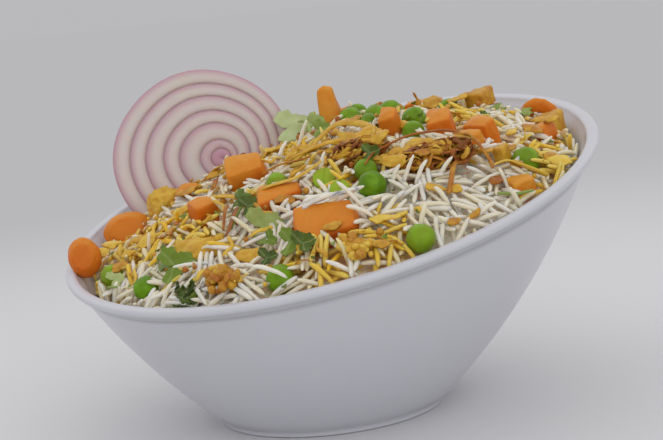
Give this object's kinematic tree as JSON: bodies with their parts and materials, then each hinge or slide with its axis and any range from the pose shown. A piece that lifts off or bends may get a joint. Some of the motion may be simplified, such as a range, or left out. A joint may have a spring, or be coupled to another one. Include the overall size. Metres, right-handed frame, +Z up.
{
  "type": "biryani in a bowl",
  "caption": "Vegetable biryani heaped in a white slant-rimmed bowl, topped with diced carrot, peas, fried onion, herbs and a standing slice of red onion.",
  "frame": {"origin": "centre of the bowl's foot, on the surface it stands on", "axes": "+Z up; the rim is lowest towards -Y and highest towards +Y; +X to the right of that low side"},
  "size_m": [0.188, 0.1865, 0.1199],
  "materials": {
    "bowl_glaze": "glossy white glaze",
    "rice": "moist white and saffron-yellow grains",
    "carrot": "cooked, slightly moist",
    "pea": "cooked, slightly moist",
    "onion": "raw, moist, white flesh with mauve skins",
    "browned": "crisp and browned",
    "golden": "fried golden",
    "herb": "fresh, dark green"
  },
  "bodies": {
    "root": {"pea_01": "pea", "pea_02": "pea", "pea_03": "pea", "pea_04": "pea", "pea_05": "pea", "pea_06": "pea", "pea_07": "pea", "pea_08": "pea", "pea_09": "pea", "pea_10": "pea", "pea_11": "pea", "pea_12": "pea", "pea_13": "pea", "pea_14": "pea", "pea_15": "pea", "pea_16": "pea", "pea_17": "pea", "pea_18": "pea", "pea_19": "pea", "pea_20": "pea", "pea_21": "pea", "pea_22": "pea", "carrot_01": "carrot", "carrot_02": "carrot", "carrot_03": "carrot", "carrot_04": "carrot", "carrot_05": "carrot", "carrot_06": "carrot", "carrot_07": "carrot", "carrot_08": "carrot", "carrot_09": "carrot", "carrot_10": "carrot", "carrot_11": "carrot", "carrot_12": "carrot", "carrot_13": "carrot", "carrot_14": "carrot", "carrot_coin_01": "carrot", "carrot_coin_02": "carrot", "carrot_arch": "carrot", "carrot_wedge": "carrot", "onion_slice": "onion", "fried_onion_bundle_01": "browned", "fried_onion_bundle_02": "browned", "fried_onion_bundle_03": "golden", "fried_onion_strip": "golden", "fried_onion_petal_01": "golden", "fried_onion_petal_02": "golden", "fried_onion_petal_03": "golden", "golden_floret": "golden", "dark_floret": "herb", "golden_lump": "golden", "golden_bit_01": "golden", "golden_bit_02": "golden", "golden_bit_03": "golden", "bowl": "bowl_glaze", "rice": "rice"}
  },
  "joints": []
}
